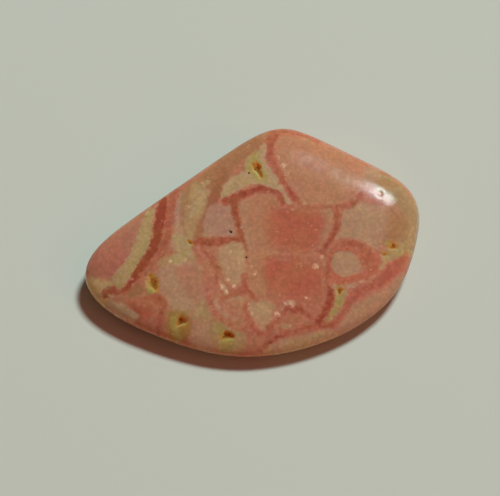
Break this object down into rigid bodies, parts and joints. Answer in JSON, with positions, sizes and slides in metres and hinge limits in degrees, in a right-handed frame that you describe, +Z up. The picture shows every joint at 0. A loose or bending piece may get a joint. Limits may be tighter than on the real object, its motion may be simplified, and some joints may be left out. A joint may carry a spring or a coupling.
{
  "type": "polished rhodochrosite slice",
  "caption": "Flat tumbled slice of banded pink rhodochrosite with rounded edges and small open vugs, lying on its sawn base.",
  "frame": {"origin": "on the table, under the middle of the stone's bounding box", "axes": "+X along the stone's length towards its thick blunt end, +Y across its width, +Z up out of the polished face"},
  "size_m": [0.03, 0.0223, 0.0054],
  "materials": {
    "polished_rhodochrosite": "tumble polished, faintly translucent"
  },
  "bodies": {
    "root": {"rhodochrosite_slice": "polished_rhodochrosite"}
  },
  "joints": []
}
